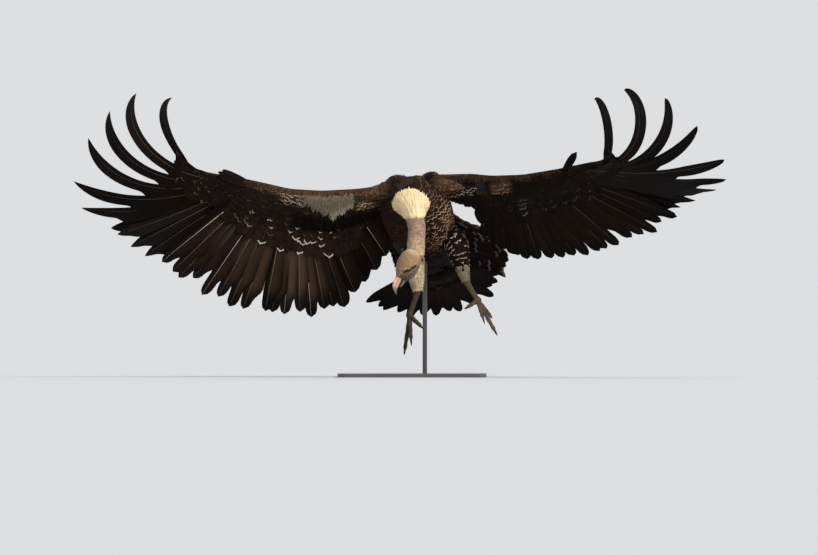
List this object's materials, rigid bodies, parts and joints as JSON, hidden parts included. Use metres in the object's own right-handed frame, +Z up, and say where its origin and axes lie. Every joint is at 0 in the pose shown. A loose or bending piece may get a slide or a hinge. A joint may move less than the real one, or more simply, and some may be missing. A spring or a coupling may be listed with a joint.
{
  "type": "ruppell's vulture",
  "caption": "Life-size still model of a landing vulture: wings spread with raised finger feathers, head hanging, feet down, held over a flat base by one rod.",
  "frame": {"origin": "middle of the stand base's underside", "axes": "+Z up; the bird faces -Y, so its left wing is on +X; X runs from wing tip to wing tip"},
  "size_m": [2.2747, 1.0744, 1.0067],
  "materials": {
    "dark_feather": "near-black brown flight feathers and wing coverts, faintly glossy",
    "breast_feather": "matt dark brown body feathers with pale buff crescent edges",
    "ruff_feather": "soft cream down",
    "down_skin": "bare neck skin under thin pale down",
    "head_skin": "brownish-grey face skin with short tan down",
    "bill_horn": "satin horn, pink-orange with a darker tip",
    "eye_gloss": "wet gloss, dark amber",
    "leg_skin": "matt grey-olive scaled skin",
    "claw_horn": "black satin horn",
    "stand_metal": "plain dark grey satin paint"
  },
  "bodies": {
    "root": {"alula_left": "dark_feather", "alula_right": "dark_feather", "bill_lower": "bill_horn", "bill_upper": "bill_horn", "claw_hind_left": "claw_horn", "claw_hind_right": "claw_horn", "claw_inner_left": "claw_horn", "claw_inner_right": "claw_horn", "claw_middle_left": "claw_horn", "claw_middle_right": "claw_horn", "claw_outer_left": "claw_horn", "claw_outer_right": "claw_horn", "eye_left": "eye_gloss", "eye_right": "eye_gloss", "flank_left": "breast_feather", "flank_right": "breast_feather", "foot_left": "leg_skin", "foot_right": "leg_skin", "forearm_left": "dark_feather", "forearm_right": "dark_feather", "hand_left": "dark_feather", "hand_right": "dark_feather", "head": "head_skin", "neck": "down_skin", "primaries_left": "dark_feather", "primaries_right": "dark_feather", "ruff": "ruff_feather", "secondaries_left": "dark_feather", "secondaries_right": "dark_feather", "stand_base": "stand_metal", "stand_rod": "stand_metal", "tail": "breast_feather", "tail_feathers": "dark_feather", "tarsus_left": "leg_skin", "tarsus_right": "leg_skin", "tertials_left": "dark_feather", "tertials_right": "dark_feather", "thigh_left": "breast_feather", "thigh_right": "breast_feather", "trunk": "breast_feather", "upper_arm_left": "dark_feather", "upper_arm_right": "dark_feather"}
  },
  "joints": []
}
